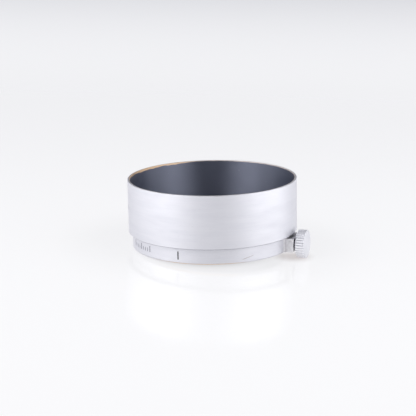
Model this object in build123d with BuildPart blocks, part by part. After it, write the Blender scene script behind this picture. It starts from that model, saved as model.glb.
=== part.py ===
from build123d import *
from math import asin, cos, degrees, radians, sin, sqrt
import os

# Clamp-on lens hood, in millimetres.
# The origin is on the optical axis, in the rear face of the clamp collar.
# +Z points to the front rim of the hood and +X along the thumbscrew, away from the axis.

# Driving dimensions
lens_rim_radius = 18.0
rim_clearance = 0.1
barrel_radius = 21.0
barrel_step = 1.0
barrel_wall = 0.55
hood_height = 17.0
seam_height = 3.87
spigot_height = 2.1
solder_gap = 0.02
screw_height = 1.5
running_gap = 0.05
tighten_travel = 0.35
release_travel = 0.6

# Barrel and collar
collar_radius = barrel_radius - barrel_step
barrel_bore = barrel_radius - barrel_wall
collar_bore = lens_rim_radius + rim_clearance
collar_top = seam_height + spigot_height
shoulder_height = 1.5
rim_round = 0.15
rim_inner_bevel = 0.1
barrel_heel_bevel = 0.12
collar_edge_round = 0.3
bore_entry_bevel = 0.12

# Lens stop ring, pressed into the collar from the front
stop_bottom = 3.9
stop_thickness = 0.8
stop_outer_radius = 18.9
stop_inner_radius = 16.8
stop_bevel = 0.3

# Leaf spring, which lies in a recess of the collar and is riveted at one end
leaf_thickness = 0.3
leaf_width = 2.0
leaf_hinge_angle = 80.0
leaf_arc = 120.0
recess_width = 2.2
recess_radius = 19.15
recess_end_gap = 5.0
leaf_relaxed_radius = recess_radius - running_gap
leaf_rest_inner_radius = collar_bore + running_gap
leaf_tip_round = 0.6

# Rivets of the leaf spring
rivet_offsets = [3.5, 8.0]
rivet_angles = [leaf_hinge_angle - offset for offset in rivet_offsets]
rivet_radius = 0.35
rivet_head_radius = 0.7
rivet_head_height = 0.3
rivet_head_taper = 30.0
rivet_head_gap = 0.08
rivet_hole_gap = 0.1
rivet_spare_length = 0.5

# Pressure pad, which swivels on the tip of the thumbscrew and can't turn in its pocket
pad_width = 3.4
pad_height = 2.0
pad_thickness = 0.55
pad_web = 0.3
pad_corner = 0.5
pad_inner_face = leaf_rest_inner_radius + leaf_thickness + running_gap
pad_outer_face = pad_inner_face + pad_thickness
pocket_side_gap = 0.15
pocket_end_gap = 0.05
pocket_width = pad_width + 2 * pocket_side_gap
pocket_height = pad_height + 2 * pocket_end_gap
pocket_floor = pad_outer_face + release_travel + running_gap

# Screw block, brazed to the collar
block_width = 6.5
block_height = 3.4
block_face = 21.8
block_foot_flare = 0.9
block_foot_rise = 0.2
block_foot_sagitta = 0.05
block_edge_bevel = 0.15

# Thumbscrew: a threaded spindle with a knurled knob pressed on it
thread_radius = 1.0
spindle_radius = thread_radius - running_gap
collar_hole_radius = 1.15
neck_radius = 0.5
neck_hole_radius = 0.55
tip_head_radius = 0.8
tip_head_bore = 0.95
tip_head_height = 0.16
axial_gap = 0.03
knob_radius = 3.47
knob_thickness = 2.15
knob_block_gap = tighten_travel + running_gap
knob_ribs = 32
knob_rib_depth = 0.17
knob_outer_bevel = 0.28
knob_inner_bevel = 0.12
knob_bore_radius = 0.8
knob_bore_depth = 1.7

# Length by which a cutting shape passes beyond the face that it cuts
cut_overlap = 1.0

knob_inner_face = block_face + knob_block_gap
screw_plane = Plane(origin=(0, 0, screw_height), x_dir=(0, 1, 0), z_dir=(1, 0, 0))
# Turned faces of the collar start and end at this plane's X axis, clear of the holes and the recess.
collar_plane = Plane.XY.rotated((0, 0, 160))


def radial_plane(angle, radius):
    """Plane at the screw's height that faces outwards from the optical axis."""
    outward = (cos(radians(angle)), sin(radians(angle)), 0)
    across = (-sin(radians(angle)), cos(radians(angle)), 0)
    origin = (radius * outward[0], radius * outward[1], screw_height)
    return Plane(origin=origin, x_dir=across, z_dir=outward)


def arc_strip(centre, inner_radius, outer_radius, start_angle, sweep_angle):
    """Sketch of a strip that is bent round a centre."""
    with BuildSketch() as strip:
        with BuildLine():
            outer = CenterArc(centre, outer_radius, start_angle, sweep_angle)
            inner = CenterArc(centre, inner_radius, start_angle, sweep_angle)
            Line(outer @ 0, inner @ 0)
            Line(outer @ 1, inner @ 1)
        make_face()
    return strip.sketch


# The barrel is a thin turned tube. Its thicker lower end slides over the collar's spigot.
with BuildPart() as hood_barrel:
    with BuildSketch(Plane.XY.offset(seam_height)):
        Circle(barrel_radius)
        Circle(collar_radius + solder_gap, mode=Mode.SUBTRACT)
    extrude(amount=hood_height - seam_height)
    with BuildSketch(Plane.XY.offset(collar_top + shoulder_height)):
        Circle(barrel_bore)
    extrude(amount=hood_height - collar_top, mode=Mode.SUBTRACT)
    rim_edges = hood_barrel.edges().group_by(Axis.Z)[-1].sort_by(SortBy.RADIUS)
    chamfer(rim_edges[0], rim_inner_bevel)
    rim_edges = hood_barrel.edges().group_by(Axis.Z)[-1].sort_by(SortBy.RADIUS)
    fillet(rim_edges[-1], rim_round)
    heel_edges = hood_barrel.edges().group_by(Axis.Z)[0].sort_by(SortBy.RADIUS)
    chamfer(heel_edges[-1], barrel_heel_bevel)

# The collar slips over the lens rim. The recess for the leaf and the pad's pocket open inwards.
recess_start = leaf_hinge_angle + recess_end_gap
recess_sweep = -(leaf_arc + 2 * recess_end_gap)
with BuildPart() as clamp_collar:
    with BuildSketch(collar_plane):
        Circle(collar_radius)
        Circle(collar_bore, mode=Mode.SUBTRACT)
    extrude(amount=collar_top)
    rear_edges = clamp_collar.edges().group_by(Axis.Z)[0].sort_by(SortBy.RADIUS)
    fillet(rear_edges[-1], collar_edge_round)
    rear_edges = clamp_collar.edges().group_by(Axis.Z)[0].sort_by(SortBy.RADIUS)
    chamfer(rear_edges[0], bore_entry_bevel)
    with BuildSketch(collar_plane.offset(stop_bottom)):
        Circle(stop_outer_radius)
    extrude(amount=collar_top - stop_bottom, mode=Mode.SUBTRACT)
    front_edges = clamp_collar.edges().group_by(Axis.Z)[-1].sort_by(SortBy.RADIUS)
    chamfer(front_edges[0], stop_bevel)
    with BuildSketch(Plane.XY.offset(screw_height - recess_width / 2)):
        add(arc_strip((0, 0), collar_bore - cut_overlap, recess_radius, recess_start, recess_sweep))
    extrude(amount=recess_width, mode=Mode.SUBTRACT)
    with BuildSketch(screw_plane.offset(collar_bore - cut_overlap)):
        RectangleRounded(pocket_width, pocket_height, pad_corner)
    extrude(amount=pocket_floor - collar_bore + cut_overlap, mode=Mode.SUBTRACT)
    with BuildSketch(screw_plane.offset(collar_bore)):
        Circle(collar_hole_radius)
    extrude(amount=collar_radius, mode=Mode.SUBTRACT)
    for angle in rivet_angles:
        with BuildSketch(radial_plane(angle, collar_bore)):
            Circle(rivet_radius)
        extrude(amount=collar_radius, mode=Mode.SUBTRACT)

# The front of the lens rim seats on the lower face of the stop ring.
with BuildPart() as lens_stop_ring:
    with BuildSketch(Plane.XY.offset(stop_bottom)):
        Circle(stop_outer_radius)
        Circle(stop_inner_radius, mode=Mode.SUBTRACT)
    extrude(amount=stop_thickness)
    mouth_edges = lens_stop_ring.edges().group_by(Axis.Z)[-1].sort_by(SortBy.RADIUS)
    chamfer(mouth_edges[0], stop_bevel)

# The block's foot flares out over the collar in two hollow braze fillets.
block_half = block_width / 2
foot_half = block_half + block_foot_flare
foot_angle = degrees(asin(foot_half / collar_radius))
foot_x = sqrt(collar_radius**2 - foot_half**2)
flank_x = sqrt(collar_radius**2 - block_half**2) + block_foot_rise
with BuildPart() as screw_block:
    with BuildSketch():
        with BuildLine():
            CenterArc((0, 0), collar_radius, -foot_angle, 2 * foot_angle)
            SagittaArc((foot_x, foot_half), (flank_x, block_half), block_foot_sagitta)
            Polyline((flank_x, block_half), (block_face, block_half), (block_face, -block_half),
                     (flank_x, -block_half))
            SagittaArc((flank_x, -block_half), (foot_x, -foot_half), block_foot_sagitta)
        make_face()
    extrude(amount=block_height)
    face_edges = screw_block.faces().sort_by(Axis.X)[-1].edges()
    chamfer(face_edges, block_edge_bevel)
    with BuildSketch(screw_plane.offset(collar_bore)):
        Circle(thread_radius)
    extrude(amount=block_face, mode=Mode.SUBTRACT)

# The leaf is pressed in to its rest position: its relaxed arc is turned about the hinge end.
leaf_inner = leaf_relaxed_radius - leaf_thickness
leaf_hinge_radius = leaf_relaxed_radius - leaf_thickness / 2
leaf_press = leaf_inner - leaf_rest_inner_radius
leaf_lever = leaf_hinge_radius * sin(radians(leaf_hinge_angle))
leaf_turn = -degrees(leaf_press / leaf_lever)
hinge_point = Vector(leaf_hinge_radius, 0, 0).rotate(Axis.Z, leaf_hinge_angle)
leaf_centre = hinge_point - hinge_point.rotate(Axis.Z, leaf_turn)
with BuildPart() as leaf_spring:
    with BuildSketch(Plane.XY.offset(screw_height - leaf_width / 2)):
        add(arc_strip((leaf_centre.X, leaf_centre.Y), leaf_inner, leaf_relaxed_radius,
                      leaf_hinge_angle + leaf_turn, -leaf_arc))
    extrude(amount=leaf_width)
    tip_edges = leaf_spring.edges().sort_by(SortBy.LENGTH)[:4]
    fillet(tip_edges, leaf_tip_round)
    for angle in rivet_angles:
        with BuildSketch(radial_plane(angle, leaf_inner - cut_overlap)):
            Circle(rivet_radius + rivet_hole_gap)
        extrude(amount=leaf_thickness + 2 * cut_overlap, mode=Mode.SUBTRACT)

# Two rivets with a domed head inside. Their outer ends are dressed flush with the collar.
with BuildPart() as leaf_rivets:
    for angle in rivet_angles:
        tab_press = leaf_hinge_radius * sin(radians(leaf_hinge_angle - angle)) * radians(-leaf_turn)
        head_base = leaf_inner - tab_press - rivet_head_gap
        with BuildSketch(radial_plane(angle, head_base)):
            Circle(rivet_radius)
        extrude(amount=collar_radius - head_base + rivet_spare_length)
        with BuildSketch(radial_plane(angle, head_base)):
            Circle(rivet_head_radius)
        extrude(amount=-rivet_head_height, taper=rivet_head_taper)
    with BuildSketch():
        Circle(collar_radius)
    extrude(amount=seam_height, mode=Mode.INTERSECT)

# The pad has a stepped bore: the spindle's peened tip lies in the wider part.
with BuildPart() as pressure_pad:
    with BuildSketch(screw_plane.offset(pad_inner_face)):
        RectangleRounded(pad_width, pad_height, pad_corner)
    extrude(amount=pad_thickness)
    with BuildSketch(screw_plane.offset(pad_inner_face)):
        Circle(tip_head_bore)
    extrude(amount=pad_thickness - pad_web, mode=Mode.SUBTRACT)
    with BuildSketch(screw_plane.offset(pad_inner_face)):
        Circle(neck_hole_radius)
    extrude(amount=pad_thickness, mode=Mode.SUBTRACT)

# The spindle, from its peened tip to the tail that is pressed into the knob.
shoulder_x = pad_outer_face + axial_gap
neck_end = pad_outer_face - pad_web - axial_gap
spindle_steps = [
    (neck_end - tip_head_height, neck_end, tip_head_radius),
    (neck_end, shoulder_x, neck_radius),
    (shoulder_x, knob_inner_face, spindle_radius),
    (knob_inner_face, knob_inner_face + knob_bore_depth, knob_bore_radius),
]
with BuildPart() as screw_spindle:
    for step_start, step_end, step_radius in spindle_steps:
        with BuildSketch(screw_plane.offset(step_start)):
            Circle(step_radius)
        extrude(amount=step_end - step_start)

# The knob has straight ribs along its whole edge and a plain flat face.
rib_points = []
for step in range(2 * knob_ribs):
    point_radius = knob_radius if step % 2 == 0 else knob_radius - knob_rib_depth
    point_angle = radians(180 * step / knob_ribs)
    rib_points.append((point_radius * cos(point_angle), point_radius * sin(point_angle)))
with BuildPart() as thumb_knob:
    with BuildSketch(screw_plane.offset(knob_inner_face)):
        Circle(knob_radius)
    extrude(amount=knob_thickness)
    chamfer(thumb_knob.faces().sort_by(Axis.X)[-1].edges(), knob_outer_bevel)
    chamfer(thumb_knob.faces().sort_by(Axis.X)[0].edges(), knob_inner_bevel)
    with BuildSketch(screw_plane.offset(knob_inner_face)):
        Circle(knob_radius + cut_overlap)
        with BuildLine():
            Polyline(*rib_points, close=True)
        make_face(mode=Mode.SUBTRACT)
    extrude(amount=knob_thickness, mode=Mode.SUBTRACT)
    with BuildSketch(screw_plane.offset(knob_inner_face)):
        Circle(knob_bore_radius)
    extrude(amount=knob_bore_depth, mode=Mode.SUBTRACT)

parts = {
    "hood_barrel": hood_barrel,
    "clamp_collar": clamp_collar,
    "lens_stop_ring": lens_stop_ring,
    "screw_block": screw_block,
    "leaf_spring": leaf_spring,
    "leaf_rivets": leaf_rivets,
    "pressure_pad": pressure_pad,
    "screw_spindle": screw_spindle,
    "thumb_knob": thumb_knob,
}
os.makedirs("parts", exist_ok=True)
for name, piece in parts.items():
    piece.part.label = name
    export_step(piece.part, f"parts/{name}.step")
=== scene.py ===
"""Looks of the clamp-on lens hood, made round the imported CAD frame.
Lengths are in metres unless they are named in mm."""

from math import cos, pi, radians, sin, tau

import bpy
from mathutils import Matrix, Vector


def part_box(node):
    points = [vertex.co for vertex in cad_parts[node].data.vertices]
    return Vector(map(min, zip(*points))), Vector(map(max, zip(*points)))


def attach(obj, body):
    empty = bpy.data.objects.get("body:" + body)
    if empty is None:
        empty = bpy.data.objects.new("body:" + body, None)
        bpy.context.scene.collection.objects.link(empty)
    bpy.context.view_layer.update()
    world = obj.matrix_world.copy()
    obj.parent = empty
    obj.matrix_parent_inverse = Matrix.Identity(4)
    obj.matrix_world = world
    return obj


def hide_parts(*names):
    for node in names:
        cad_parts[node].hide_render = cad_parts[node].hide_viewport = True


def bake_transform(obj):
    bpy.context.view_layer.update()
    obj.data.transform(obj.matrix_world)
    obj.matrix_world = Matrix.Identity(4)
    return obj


MM = 0.001
ROUND_STEPS = 384
SHARP_DEGREES = 28.0
BARREL_WALL, HEEL_WALL, SHOULDER_HEIGHT = 0.55 * MM, 0.98 * MM, 1.5 * MM
COAT = 0.03 * MM
WORN_AZIMUTH = 163
MARK_PROUD, MARK_SUNK = 0.012 * MM, 0.05 * MM
RIBS, RIB_DEPTH = 32, 0.17 * MM
TABLE_TOUCH, TABLE_LEAN, TABLE_HALF = 19.7 * MM, radians(2.68), 3.0
VIEW_AZIMUTH, VIEW_ELEVATION, VIEW_ROLL = radians(19.2), radians(13.49), radians(1.01)

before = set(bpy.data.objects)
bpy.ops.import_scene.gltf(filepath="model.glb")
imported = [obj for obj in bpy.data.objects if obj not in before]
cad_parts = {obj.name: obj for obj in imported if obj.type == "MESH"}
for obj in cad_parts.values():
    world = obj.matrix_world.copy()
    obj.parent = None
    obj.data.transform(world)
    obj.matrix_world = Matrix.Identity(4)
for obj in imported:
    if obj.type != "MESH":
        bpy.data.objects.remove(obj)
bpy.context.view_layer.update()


# ---------------------------------------------------------------- node graphs


def colour(red, green, blue):
    return (red, green, blue, 1.0)


class Graph:
    """A node tree that is built step by step."""

    def __init__(self, tree):
        self.tree = tree

    def node(self, kind, inputs, **settings):
        made = self.tree.nodes.new(kind)
        for key, value in settings.items():
            setattr(made, key, value)
        for key, value in inputs.items():
            if isinstance(value, bpy.types.NodeSocket):
                self.tree.links.new(value, made.inputs[key])
            else:
                made.inputs[key].default_value = value
        return made

    def math(self, operation, *values):
        return self.node("ShaderNodeMath", dict(enumerate(values)), operation=operation).outputs[0]

    def position_mm(self):
        """X, Y and Z of the surface point in the part's own frame, in millimetres."""
        coords = self.node("ShaderNodeTexCoord", {}).outputs["Object"]
        scaled = self.node("ShaderNodeVectorMath", {0: coords, "Scale": 1 / MM}, operation="SCALE")
        split = self.node("ShaderNodeSeparateXYZ", {0: scaled.outputs[0]})
        return split.outputs[0], split.outputs[1], split.outputs[2]

    def coordinates(self, space):
        """X, Y and Z of the point, in one of the spaces of the texture coordinate node."""
        coords = self.node("ShaderNodeTexCoord", {}).outputs[space]
        split = self.node("ShaderNodeSeparateXYZ", {0: coords}).outputs
        return split[0], split[1], split[2]

    def length(self, a, b):
        squares = self.math("ADD", self.math("MULTIPLY", a, a), self.math("MULTIPLY", b, b))
        return self.math("SQRT", squares)

    def along(self, a, b, direction):
        """How far the point (a, b) lies in a direction, which is an angle from a towards b."""
        share_a = self.math("MULTIPLY", a, cos(direction))
        share_b = self.math("MULTIPLY", b, sin(direction))
        return self.math("ADD", share_a, share_b)

    def noise(self, x, y, z, scales, detail=2.0, roughness=0.5):
        """Noise of a point whose three coordinates are stretched by scales, which are features per mm."""
        scaled = [self.math("MULTIPLY", value, scale) for value, scale in zip((x, y, z), scales)]
        vector = self.node("ShaderNodeCombineXYZ", dict(enumerate(scaled))).outputs[0]
        inputs = {"Vector": vector, "Scale": 1.0, "Detail": detail, "Roughness": roughness}
        return self.node("ShaderNodeTexNoise", inputs).outputs[0]

    def span(self, value, low, high, out_low=0.0, out_high=1.0):
        """value between low and high, smoothly turned into out_low to out_high."""
        inputs = {0: value, 1: low, 2: high, 3: out_low, 4: out_high}
        settings = {"interpolation_type": "SMOOTHSTEP", "clamp": True}
        return self.node("ShaderNodeMapRange", inputs, **settings).outputs[0]

    def between(self, value, low, high, blur):
        """1 from low to high and 0 outside, with edges that are soft over blur on either side."""
        above = self.span(value, low - blur, low + blur)
        below = self.span(value, high - blur, high + blur, 1.0, 0.0)
        return self.math("MULTIPLY", above, below)

    def mix(self, factor, a, b):
        inputs = {0: factor, 6: a, 7: b}
        return self.node("ShaderNodeMix", inputs, data_type="RGBA").outputs[2]

    def bump(self, height, strength, depth_mm, below=None):
        inputs = {"Height": height, "Strength": strength, "Distance": depth_mm * MM}
        if below is not None:
            inputs["Normal"] = below
        return self.node("ShaderNodeBump", inputs).outputs[0]

    def tangent(self, axis):
        return self.node("ShaderNodeTangent", {}, direction_type="RADIAL", axis=axis).outputs[0]


class Finish(Graph):
    """A Principled material and its node graph. values are the shader's own settings."""

    def __init__(self, name, **values):
        self.material = bpy.data.materials.new(name)
        self.material.use_nodes = True
        super().__init__(self.material.node_tree)
        self.shader = next(n for n in self.tree.nodes if n.type == "BSDF_PRINCIPLED")
        for socket, value in values.items():
            self.shader.inputs[socket.replace("_", " ")].default_value = value

    def to_shader(self, socket, value):
        self.tree.links.new(value, self.shader.inputs[socket])


def groove_shade_mask(finish, radius, deepest, unshaded):
    """Painted shade in the grooves, between two radii in mm: darkest at the deepest radius, gone at the outer
    one, and weaker further in.
    """
    in_grooves = finish.span(radius, deepest, unshaded, 0.45, 0.0)
    further_in = finish.span(radius, deepest - 0.1, deepest - 0.04, 0.55, 1.0)
    return finish.math("MULTIPLY", in_grooves, further_in)


def scratch_mask(finish, a, b, along, pits, azimuth, height, half_length, slope, surface):
    """One rubbed line. azimuth is in degrees, slope is rise over run, and the rest is in mm. surface is the
    radius of the surface that carries the line."""
    ahead = finish.along(a, b, radians(azimuth))
    beside = finish.along(a, b, radians(azimuth) + pi / 2)
    above = finish.math("SUBTRACT", along, height)
    off_line = finish.math("SUBTRACT", above, finish.math("MULTIPLY", beside, slope))
    ragged = finish.math("ADD", finish.math("ABSOLUTE", off_line), finish.math("MULTIPLY", pits, 0.12))
    ends = finish.span(finish.math("ABSOLUTE", beside), half_length * 0.6, half_length, 1.0, 0.0)
    line = finish.math("MULTIPLY", finish.span(ragged, 0.07, 0.17, 0.75, 0.0), ends)
    return finish.math("MULTIPLY", line, finish.span(ahead, surface - 1.2, surface - 0.8))


def brass_mask(finish, a, b, along, radius, patches, low, high, inner, outer, strength, azimuth, half_width):
    """An edge worn down to the brass. low and high are in mm along the axis, inner and outer in mm from it,
    and azimuth and half_width in degrees round it."""
    blur = 0.06
    towards = finish.math("DIVIDE", finish.along(a, b, radians(azimuth)), radius)
    facing = finish.span(towards, cos(radians(half_width + 14)), cos(radians(max(half_width - 10, 0))))
    inside = finish.between(along, low, high, blur)
    ringed = finish.between(radius, inner, outer, blur)
    patchy = finish.math("MULTIPLY", facing, finish.span(patches, 0.3, 0.5, 0.25, strength))
    return finish.math("MULTIPLY", finish.math("MULTIPLY", inside, ringed), patchy)


def turned_metal(name, tone, stain, roughness, axis, axis_height=0.0, grain=1.0,
                 brass=(), scratch=None, groove_shade=None, seam=None):
    """Satin plated metal that was finished on a lathe: fine rings round the axis, faint stains and pits.
    brass is a list of worn edges, scratch is one rubbed line and groove_shade is a range of radii that gets
    painted shade in its grooves. Each holds the last arguments of its mask function. seam is the height in mm
    of a joint, with a line of painted shade along it."""
    pit_tone, groove_shade_tone = colour(0.40, 0.39, 0.40), colour(0.30, 0.31, 0.36)
    seam_shade_tone, scratch_tone = colour(0.30, 0.30, 0.34), colour(0.36, 0.31, 0.28)
    brass_tone = colour(0.72, 0.53, 0.37)
    finish = Finish(name, Metallic=1.0, Anisotropic=0.1, Anisotropic_Rotation=0.25)
    x, y, z = finish.position_mm()
    if axis == "X":
        a, b, along = y, finish.math("SUBTRACT", z, axis_height), x
    else:
        a, b, along = x, y, z
    radius = finish.length(a, b)
    ring = finish.math("ADD", along, radius)
    fine = finish.noise(a, b, ring, (0.25, 0.25, 11.0), 3.0)
    bands = finish.noise(a, b, ring, (0.06, 0.06, 2.3), 2.0)
    stains = finish.noise(a, b, along, (0.10, 0.10, 0.55), 4.0, 0.55)
    pits = finish.noise(x, y, z, (2.6, 2.6, 2.6), 3.0, 0.65)
    base = finish.mix(finish.span(stains, 0.4, 0.75, 0.0, 0.22), colour(*tone), colour(*stain))
    base = finish.mix(finish.span(bands, 0.3, 0.8, 0.0, 0.14), base, colour(*stain))
    base = finish.mix(finish.span(pits, 0.66, 0.76, 0.0, 0.35), base, pit_tone)
    # painted shade: the knob's grooves are darkened where the ribs shade them
    if groove_shade:
        base = finish.mix(groove_shade_mask(finish, radius, *groove_shade), base, groove_shade_tone)
    # painted shade: a dark line along the joint, where the barrel's overhang shades the collar
    if seam:
        beside_seam = finish.math("ABSOLUTE", finish.math("SUBTRACT", along, seam))
        base = finish.mix(finish.span(beside_seam, 0.06, 0.17, 0.7, 0.0), base, seam_shade_tone)
    if scratch:
        base = finish.mix(scratch_mask(finish, a, b, along, pits, *scratch), base, scratch_tone)
    for edge in brass:
        patches = finish.noise(x, y, z, (0.14, 0.14, 0.5), 3.0, 0.6)
        base = finish.mix(brass_mask(finish, a, b, along, radius, patches, *edge), base, brass_tone)
    finish.to_shader("Base Color", base)
    uneven = finish.math("ADD", finish.math("MULTIPLY", stains, 0.6), finish.math("MULTIPLY", fine, 0.4))
    finish.to_shader("Roughness", finish.span(uneven, 0.3, 0.7, roughness - 0.05, roughness + 0.06))
    normal = finish.bump(fine, 0.35 * grain, 0.004)
    normal = finish.bump(bands, 0.06 * grain, 0.006, normal)
    normal = finish.bump(pits, 0.12 * grain, 0.004, normal)
    finish.to_shader("Normal", normal)
    finish.to_shader("Tangent", finish.tangent(axis))
    return finish.material


def lacquer(name):
    """Matt black lacquer with a fine orange-peel skin, dust and rubbed patches."""
    fresh_tone, rubbed_tone = colour(0.005, 0.008, 0.017), colour(0.011, 0.014, 0.026)
    dust_tone = colour(0.12, 0.12, 0.13)
    finish = Finish(name, IOR=2.85, Anisotropic=0.9, Anisotropic_Rotation=0.25,
                    Specular_Tint=colour(0.74, 0.79, 1.0))
    x, y, z = finish.position_mm()
    skin = finish.noise(x, y, z, (5.0, 5.0, 5.0), 3.0, 0.6)
    rubbed = finish.noise(x, y, z, (0.16, 0.16, 0.5), 4.0, 0.65)
    dust = finish.noise(x, y, z, (3.2, 3.2, 3.2), 2.0, 0.4)
    base = finish.mix(finish.span(rubbed, 0.35, 0.7), fresh_tone, rubbed_tone)
    base = finish.mix(finish.span(dust, 0.68, 0.78, 0.0, 0.5), base, dust_tone)
    finish.to_shader("Base Color", base)
    finish.to_shader("Roughness", finish.span(rubbed, 0.3, 0.7, 0.50, 0.57))
    finish.to_shader("Normal", finish.bump(skin, 0.3, 0.006))
    finish.to_shader("Tangent", finish.tangent("Z"))
    return finish.material


def blasted_metal(name, tone, stain, roughness, stretch=(1.0, 1.0, 1.0)):
    """Metal with an even, grainy skin. A stretch above 1 packs the grains closer along that axis."""
    grains_per_mm = 4.0
    finish = Finish(name, Metallic=1.0)
    x, y, z = finish.position_mm()
    grit = finish.noise(x, y, z, tuple(grains_per_mm * s for s in stretch), 4.0, 0.65)
    stains = finish.noise(x, y, z, (0.9, 0.9, 0.9), 3.0, 0.6)
    base = finish.mix(finish.span(stains, 0.38, 0.68), colour(*tone), colour(*stain))
    base = finish.mix(finish.span(grit, 0.5, 0.75, 0.0, 0.4), base, colour(*stain))
    finish.to_shader("Base Color", base)
    finish.to_shader("Roughness", finish.span(grit, 0.3, 0.7, roughness - 0.07, roughness + 0.07))
    finish.to_shader("Normal", finish.bump(grit, 0.4, 0.006))
    return finish.material


def paint(name, tone, worn_tone, wear):
    """Engraved line filled with paint, partly rubbed away."""
    finish = Finish(name, Metallic=0.0)
    x, y, z = finish.position_mm()
    patches = finish.noise(x, y, z, (4.0, 4.0, 4.0), 3.0, 0.6)
    base = finish.mix(finish.span(patches, 0.5 - wear, 0.62 - wear), colour(*tone), colour(*worn_tone))
    finish.to_shader("Base Color", base)
    finish.to_shader("Roughness", finish.span(patches, 0.3, 0.7, 0.4, 0.6))
    finish.to_shader("Normal", finish.bump(patches, 0.3, 0.004))
    return finish.material


# ---------------------------------------------------------------- meshes


def mesh_piece(name, points, faces, material, sharp_degrees=SHARP_DEGREES):
    mesh = bpy.data.meshes.new(name)
    mesh.from_pydata(points, [], faces)
    mesh.materials.append(material)
    mesh.shade_smooth()
    mesh.set_sharp_from_angle(angle=radians(sharp_degrees))
    mesh.validate()
    piece = bpy.data.objects.new(name, mesh)
    bpy.context.scene.collection.objects.link(piece)
    return piece


def arc(centre_r, centre_h, radius, start, end, steps=6):
    """Points of a profile's rounded corner, from start to end in degrees."""
    angles = [radians(start + (end - start) * step / steps) for step in range(steps + 1)]
    return [(centre_r + radius * cos(a), centre_h + radius * sin(a)) for a in angles]


def lathe_z(name, profile_at, material):
    """Closed ring. profile_at gives, for an angle round Z, a closed loop of (radius, z) points."""
    points, faces = [], []
    count = len(profile_at(0.0))
    for step in range(ROUND_STEPS):
        turn = tau * step / ROUND_STEPS
        points += [(r * cos(turn), r * sin(turn), z) for r, z in profile_at(turn)]
    for step in range(ROUND_STEPS):
        here, there = step * count, (step + 1) % ROUND_STEPS * count
        for k in range(count):
            after = (k + 1) % count
            faces.append((here + k, there + k, there + after, here + after))
    return mesh_piece(name, points, faces, material)


def ribbed_shaft(name, stations, around, axis_height, material, sharp_degrees=SHARP_DEGREES):
    """Closed solid round the screw's axis. stations is a list of (x, function that gives the radius at an
    angle), from end to end."""
    points, faces = [], []
    for x, radius_at in stations:
        for step in range(around):
            turn = tau * step / around
            r = radius_at(turn)
            points.append((x, r * cos(turn), axis_height + r * sin(turn)))
    for k in range(len(stations) - 1):
        for step in range(around):
            after = (step + 1) % around
            a, b = k * around + step, k * around + after
            faces.append((a, b, b + around, a + around))
    faces.append(tuple(reversed(range(around))))
    last = (len(stations) - 1) * around
    faces.append(tuple(range(last, last + around)))
    return mesh_piece(name, points, faces, material, sharp_degrees)


def stroke(name, path_degrees, radius, width, material):
    """Thin solid line on a cylinder round Z. path_degrees is a list of (azimuth, z) points."""
    points, faces = [], []
    flat = [Vector((radians(azimuth) * radius, z)) for azimuth, z in path_degrees]
    for index, point in enumerate(flat):
        before, after = flat[max(index - 1, 0)], flat[min(index + 1, len(flat) - 1)]
        along = (after - before).normalized()
        side = Vector((-along.y, along.x)) * width / 2
        section = ((side, MARK_PROUD), (-side, MARK_PROUD), (-side, -MARK_SUNK), (side, -MARK_SUNK))
        for offset, height in section:
            spot = point + offset
            turn = spot.x / radius
            points.append(((radius + height) * cos(turn), (radius + height) * sin(turn), spot.y))
    for index in range(len(flat) - 1):
        a, b = index * 4, index * 4 + 4
        for k in range(4):
            after = (k + 1) % 4
            faces.append((a + k, a + after, b + after, b + k))
    faces.append((3, 2, 1, 0))
    last = (len(flat) - 1) * 4
    faces.append((last, last + 1, last + 2, last + 3))
    return mesh_piece(name, points, faces, material)


# ---------------------------------------------------------------- measures and materials

barrel_low, barrel_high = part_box("hood_barrel")
knob_low, knob_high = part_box("thumb_knob")
spindle_low, spindle_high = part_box("screw_spindle")
collar_top, collar_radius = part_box("clamp_collar")[1].z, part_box("clamp_collar")[1].x
barrel_radius_mm = barrel_high.x / MM
hood_top_mm = barrel_high.z / MM
seam_mm = barrel_low.z / MM
screw_axis_mm = (spindle_low.z + spindle_high.z) / 2 / MM
knob_radius_mm = (knob_high.y - knob_low.y) / 2 / MM

chrome_tone, chrome_stain, chrome_roughness = (0.70, 0.70, 0.745), (0.62, 0.625, 0.68), 0.56
inner_rim = (hood_top_mm - 2, hood_top_mm + 1, 18.0, barrel_radius_mm - 0.44, 0.4, 0, 166)
worn_inner_rim = (hood_top_mm - 2, hood_top_mm + 1, 18.0, barrel_radius_mm - 0.40, 1.0, WORN_AZIMUTH, 34)
worn_top = (hood_top_mm - 0.2, hood_top_mm + 1, 18.0, barrel_radius_mm - 0.1, 0.6, WORN_AZIMUTH, 26)
barrel_chrome = turned_metal("barrel_chrome", chrome_tone, chrome_stain, chrome_roughness, "Z",
                             grain=0.7, seam=seam_mm, brass=[inner_rim, worn_inner_rim, worn_top])
collar_foot = (-1.0, 0.2, 19.0, 21.0, 0.9, -81, 24)
collar_scratch = (-46.5, 1.2, 1.7, 0.235, 20.0)
collar_chrome = turned_metal("collar_chrome", chrome_tone, chrome_stain, chrome_roughness, "Z",
                             seam=seam_mm, brass=[collar_foot], scratch=collar_scratch)
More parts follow.
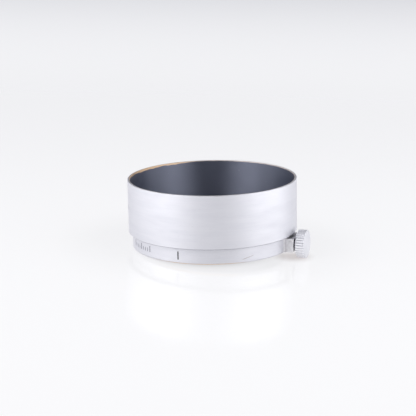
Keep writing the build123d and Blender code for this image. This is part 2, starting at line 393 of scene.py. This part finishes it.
# radii of the knob's grooves that get painted shade
knob_groove_shade = (knob_radius_mm - RIB_DEPTH / MM, knob_radius_mm - 0.02)
knob_chrome = turned_metal("knob_chrome", (0.92, 0.92, 0.955), (0.84, 0.84, 0.885), 0.6, "X", screw_axis_mm,
                           grain=0.7, groove_shade=knob_groove_shade)
lacquer_black = lacquer("lacquer_black")
block_nickel = blasted_metal("block_nickel", (0.74, 0.735, 0.76), (0.62, 0.61, 0.625), 0.46)
spring_steel = blasted_metal("spring_steel", (0.52, 0.53, 0.56), (0.38, 0.38, 0.41), 0.30, (1.0, 1.0, 6.0))
screw_steel = blasted_metal("screw_steel", (0.58, 0.58, 0.60), (0.42, 0.42, 0.44), 0.28, (5.0, 1.0, 1.0))
brass_aged = blasted_metal("brass_aged", (0.72, 0.52, 0.26), (0.50, 0.35, 0.19), 0.34)
mark_black = paint("mark_black", (0.018, 0.018, 0.02), (0.10, 0.10, 0.11), -0.1)
mark_grey = paint("mark_grey", (0.07, 0.07, 0.10), (0.28, 0.28, 0.33), 0.0)


def finish_node(node, material):
    """Gives a CAD node, which stays in the scene, its material."""
    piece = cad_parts[node]
    piece.data.materials.clear()
    piece.data.materials.append(material)


def stand_in(piece, body, slot, *nodes):
    """Fixes a piece to its body, and puts it in the place of the named CAD nodes."""
    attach(piece, body)
    if nodes:
        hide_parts(*nodes)


# ---------------------------------------------------------------- hood body


def worn_share(turn):
    """1 where the rim is worn most, behind and to the left, and 0 elsewhere."""
    away = abs((turn - radians(WORN_AZIMUTH) + pi) % tau - pi)
    share = min(max((radians(44) - away) / radians(22), 0), 1)
    return share * share * (3 - 2 * share)


def build_barrel():
    outer, top, bottom = barrel_high.x, barrel_high.z, barrel_low.z
    bore, heel_bore = outer - BARREL_WALL, outer - HEEL_WALL
    rim_round, inner_bevel, heel = 0.15 * MM, 0.1 * MM, 0.12 * MM
    shoulder = collar_top + SHOULDER_HEIGHT
    profile = [(outer, bottom + heel), (outer, top - rim_round)]
    profile += arc(outer - rim_round, top - rim_round, rim_round, 0, 90)[1:]
    profile += arc(bore + inner_bevel, top - inner_bevel, inner_bevel, 90, 180, 4)
    profile += [(bore, shoulder), (heel_bore, shoulder), (heel_bore, bottom), (outer - heel, bottom)]
    barrel = lathe_z("barrel_shell", lambda turn: profile, barrel_chrome)
    stand_in(barrel, "hood", "satin_chrome", "hood_barrel")


def build_coating():
    """Skin of lacquer on the bore and on the step of the stop ring. Its upper edge is ragged and worn."""
    bore, heel_bore = barrel_high.x - BARREL_WALL, barrel_high.x - HEEL_WALL
    shoulder = collar_top + SHOULDER_HEIGHT
    ring_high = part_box("lens_stop_ring")[1]
    step_radius, step_bevel = ring_high.x, 0.3 * MM

    def skin_at(turn):
        ragged = 0.5 + 0.22 * sin(9 * turn + 0.7) + 0.16 * sin(23 * turn + 2.1) + 0.12 * sin(51 * turn)
        drop_mm = 0.10 + 0.05 * ragged + worn_share(turn) * (0.16 + 0.30 * ragged)
        edge = barrel_high.z - drop_mm * MM
        return [
            (bore + COAT, shoulder - COAT),
            (bore + COAT, edge),
            (bore - COAT * 0.4, edge - 0.01 * MM),
            (bore - COAT, edge - 0.04 * MM),
            (bore - COAT, shoulder + COAT),
            (heel_bore - COAT, shoulder + COAT),
            (heel_bore - COAT, collar_top + COAT),
            (step_radius + step_bevel - COAT, collar_top + COAT),
            (step_radius - COAT, collar_top - step_bevel),
            (step_radius - COAT, ring_high.z - COAT),
            (step_radius + COAT, ring_high.z - COAT),
            (step_radius + COAT, collar_top - step_bevel - COAT),
            (step_radius + step_bevel, collar_top - COAT),
            (heel_bore + COAT, collar_top - COAT),
            (heel_bore + COAT, shoulder - COAT),
        ]

    coating = lathe_z("inner_lacquer", skin_at, lacquer_black)
    stand_in(coating, "hood", "black_lacquer")


def upright_line(name, azimuth, low_mm, high_mm, radius, width_mm, material):
    """One painted line of the hood. azimuth is in degrees."""
    line = stroke(name, [(azimuth, low_mm * MM), (azimuth, high_mm * MM)], radius, width_mm * MM, material)
    stand_in(line, "hood", "satin_chrome")


def build_marks():
    """Plain index line and scale on the collar, and a plain pair of ticks on the barrel."""
    upright_line("index_line", -95.9, 0.95, 2.95, collar_radius, 0.3, mark_black)
    scale_start, scale_step, scale_low = -121.0, 2.7, 1.5
    for number in range(9):
        height, width = (1.5, 0.24) if number % 4 == 0 else (0.9, 0.17)
        azimuth = scale_start - scale_step * number
        upright_line(f"scale_tick_{number + 1}", azimuth, scale_low, scale_low + height, collar_radius, width,
                     mark_grey)
    pair_start, pair_step = -151.5, 3.6
    for number in range(2):
        upright_line(f"barrel_tick_{number + 1}", pair_start - pair_step * number, 9.9, 11.2,
                     barrel_high.x - MARK_PROUD, 0.22, mark_grey)


def build_leaf():
    """The leaf spring, riveted at one end and free at the other, as one strip copied from its CAD node."""
    leaf = bpy.data.objects.new("leaf_strip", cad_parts["leaf_spring"].data.copy())
    bpy.context.scene.collection.objects.link(leaf)
    leaf.data.materials.clear()
    leaf.data.materials.append(spring_steel)
    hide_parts("leaf_spring")
    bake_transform(leaf)


# ---------------------------------------------------------------- thumbscrew


def plain(radius):
    """The same radius at every angle."""
    return lambda turn: radius


def build_knob():
    """Knob with rounded ribs, a rounded outer edge and a bevelled inner one."""
    face, back = knob_high.x, knob_low.x
    knob_radius = (knob_high.z - knob_low.z) / 2
    outer_bevel, inner_bevel, steps = 0.2 * MM, 0.12 * MM, 8

    def rib(limit):
        def radius_at(turn):
            wave = abs(cos(turn * RIBS / 2))
            groove = RIB_DEPTH * (1 - wave ** 0.8)
            return min(limit, knob_radius - groove)
        return radius_at

    limits = [
        (back, knob_radius - inner_bevel),
        (back + inner_bevel * 0.5, knob_radius - inner_bevel * 0.4),
        (back + inner_bevel, knob_radius),
    ]
    straight = face - back - inner_bevel - outer_bevel
    limits += [(back + inner_bevel + straight * step / steps, knob_radius) for step in range(1, steps + 1)]
    for step in range(1, steps + 1):
        bend = radians(90) * step / steps
        limits.append((face - outer_bevel * (1 - sin(bend)), knob_radius - outer_bevel * (1 - cos(bend))))
    stations = [(back, plain(0.9 * MM)), (back, plain(knob_radius * 0.8))]
    stations += [(x, rib(limit)) for x, limit in limits]
    stations += [(face, plain(knob_radius * 0.7)), (face, plain(knob_radius * 0.2))]
    knob = ribbed_shaft("knurled_knob", stations, RIBS * 16, screw_axis_mm * MM, knob_chrome)
    stand_in(knob, "thumbscrew", "satin_chrome", "thumb_knob")


def build_spindle():
    """Spindle with a right-hand thread, a thin neck and head at its tip, and a plain stub inside the knob."""
    major = (spindle_high.z - spindle_low.z) / 2
    pitch, depth = 0.4 * MM, 0.12 * MM
    neck, head, stub = 0.5 * MM, 0.8 * MM, 0.8 * MM
    head_bevel, head_end, run_in = 0.06 * MM, 0.16 * MM, 0.04 * MM
    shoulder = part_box("pressure_pad")[1].x + 0.03 * MM
    tip, knob_back = spindle_low.x, knob_low.x
    length = knob_back - shoulder

    def thread(x):
        def radius_at(turn):
            phase = (x / pitch - turn / tau) % 1.0
            return major - depth * min(1.0, max(0.0, 1.6 * (1 - abs(2 * phase - 1)) - 0.3))
        return radius_at

    stations = [
        (tip, plain(0.62 * MM)),
        (tip + head_bevel, plain(head)),
        (tip + head_end, plain(head)),
        (tip + head_end, plain(neck)),
        (shoulder, plain(neck)),
        (shoulder, plain(0.78 * MM)),
    ]
    count = int(length / (pitch / 10))
    stations += [(shoulder + run_in + (length - run_in) * k / count, thread(shoulder + length * k / count))
                 for k in range(count + 1)]
    stations += [(knob_back, plain(stub)), (spindle_high.x, plain(stub))]
    spindle = ribbed_shaft("threaded_spindle", stations, 64, screw_axis_mm * MM, screw_steel, 40.0)
    stand_in(spindle, "thumbscrew", "spring_steel", "screw_spindle")


# ---------------------------------------------------------------- stage


def build_stage():
    """Opal glossy table whose glow is painted light, dimmer far behind, with painted shadows under the hood
    and under the screw block. It leans, so that both the foot of the collar and the knob rest on it."""
    near_glow, middle_glow = colour(0.985, 0.985, 1.0), colour(0.69, 0.69, 0.705)
    far_glow, hood_shade_black = colour(0.17, 0.175, 0.21), colour(0.0, 0.0, 0.0)
    hood_shadow_tone, block_shadow_tone = colour(0.5, 0.485, 0.48), colour(0.42, 0.35, 0.33)
    contact_x, block_x = 17.7 * MM, 40.5 * MM
    finish = Finish("table_top", Base_Color=colour(0.13, 0.13, 0.135), Roughness=0.12, IOR=1.19,
                    Emission_Strength=0.835)
    x, y, _ = finish.coordinates("Object")
    from_axis = finish.length(finish.math("SUBTRACT", x, TABLE_TOUCH), y)
    from_contact = finish.length(finish.math("SUBTRACT", x, contact_x), y)
    from_block = finish.length(finish.math("SUBTRACT", x, block_x), y)
    back = finish.along(x, y, VIEW_AZIMUTH + pi / 2)
    # painted light: the table's glow, bright in front and dimmer towards the back
    shade = finish.mix(finish.span(back, -0.12, 0.24), near_glow, middle_glow)
    shade = finish.mix(finish.span(back, 0.2, 0.9), shade, far_glow)
    # painted shade: the glow a little darker round the hood
    shade = finish.mix(finish.span(from_axis, 20 * MM, 44 * MM, 0.05, 0.0), shade, hood_shade_black)
    # painted shadow: the glow dimmed under the hood, round where it touches the table
    shade = finish.mix(finish.span(from_contact, 13.5 * MM, 19.2 * MM), hood_shadow_tone, shade)
    # painted shadow: a brownish dark spot on the table under the screw block
    shade = finish.mix(finish.span(from_block, 1 * MM, 6.2 * MM, 0.55, 0.0), shade, block_shadow_tone)
    finish.to_shader("Emission Color", shade)
    half = TABLE_HALF
    corners = [(-half, -half, 0), (half, -half, 0), (half, half, 0), (-half, half, 0)]
    table = mesh_piece("table", corners, [(0, 1, 2, 3)], finish.material)
    touch = Vector((-TABLE_TOUCH, 0, 0))
    table.matrix_world = Matrix.Translation(touch) @ Matrix.Rotation(TABLE_LEAN, 4, "Y")


def view_axes():
    """Level directions to the right of the view and away from the camera."""
    across = Vector((cos(VIEW_AZIMUTH), sin(VIEW_AZIMUTH), 0))
    away = Vector((-sin(VIEW_AZIMUTH), cos(VIEW_AZIMUTH), 0))
    return across, away


def build_camera():
    target_across, target_height, distance = -1.13 * MM, 9.11 * MM, 0.360
    across, away = view_axes()
    upright = Vector((0, 0, 1))
    forward = away * cos(VIEW_ELEVATION) - upright * sin(VIEW_ELEVATION)
    up_level = away * sin(VIEW_ELEVATION) + upright * cos(VIEW_ELEVATION)
    right = across * cos(VIEW_ROLL) - up_level * sin(VIEW_ROLL)
    up = right.cross(forward)
    target = across * target_across + upright * target_height
    data = bpy.data.cameras.new("camera")
    data.lens, data.sensor_width = 124.9, 36.0
    data.clip_start, data.clip_end = 0.01, 20.0
    camera = bpy.data.objects.new("camera", data)
    turn = Matrix((right, up, -forward)).transposed().to_4x4()
    camera.matrix_world = Matrix.Translation(target - forward * distance) @ turn
    bpy.context.scene.collection.objects.link(camera)
    bpy.context.scene.camera = camera


def softbox(name, azimuth, elevation, distance, size, watts):
    """Square soft light. azimuth is measured from the side that the camera looks from, to the right."""
    across, away = view_axes()
    a, e = radians(azimuth), radians(elevation)
    direction = (across * sin(a) - away * cos(a)) * cos(e) + Vector((0, 0, sin(e)))
    data = bpy.data.lights.new(name, "AREA")
    data.shape, data.size, data.energy = "SQUARE", size, watts
    light = bpy.data.objects.new(name, data)
    light.location = direction * distance
    light.rotation_mode = "QUATERNION"
    light.rotation_quaternion = direction.to_track_quat("Z", "Y")
    light.visible_camera = False
    bpy.context.scene.collection.objects.link(light)


def build_world():
    """Dark room with a pale backdrop low down behind the object."""
    room_tone, backdrop_tone = colour(0.06, 0.062, 0.068), colour(0.84, 0.845, 0.87)
    world = bpy.data.worlds.new("studio")
    world.use_nodes = True
    graph = Graph(world.node_tree)
    x, y, z = graph.coordinates("Generated")
    low = graph.span(z, 0.15, 0.5, 1.0, 0.0)
    behind = graph.span(graph.along(x, y, VIEW_AZIMUTH + pi / 2), -0.3, 0.4)
    shade = graph.mix(graph.math("MULTIPLY", low, behind), room_tone, backdrop_tone)
    world.node_tree.links.new(shade, world.node_tree.nodes["Background"].inputs[0])
    bpy.context.scene.world = world


def build_lights():
    elevation, distance, wide, narrow = 28, 0.95, 1.15, 0.75
    softbox("left_softbox", -72, elevation, distance, wide, 5.2)
    softbox("left_rear_softbox", -100, elevation, distance, wide, 2.8)
    softbox("left_fill", -48, elevation, distance, narrow, 3.4)
    softbox("right_softbox", 76, elevation, distance, wide, 6.6)
    softbox("right_rear_softbox", 105, elevation, distance, wide, 0.7)
    softbox("right_fill", 51, elevation, distance, narrow, 2.6)
    softbox("front_fill", 0, 5, 1.1, 0.35, 0.5)


build_barrel()
build_coating()
build_marks()
build_leaf()
build_knob()
build_spindle()
finish_node("clamp_collar", collar_chrome)
finish_node("lens_stop_ring", lacquer_black)
finish_node("screw_block", block_nickel)
finish_node("leaf_rivets", brass_aged)
finish_node("pressure_pad", brass_aged)
build_stage()
build_camera()
build_world()
build_lights()
bpy.context.scene.view_settings.view_transform = "Standard"
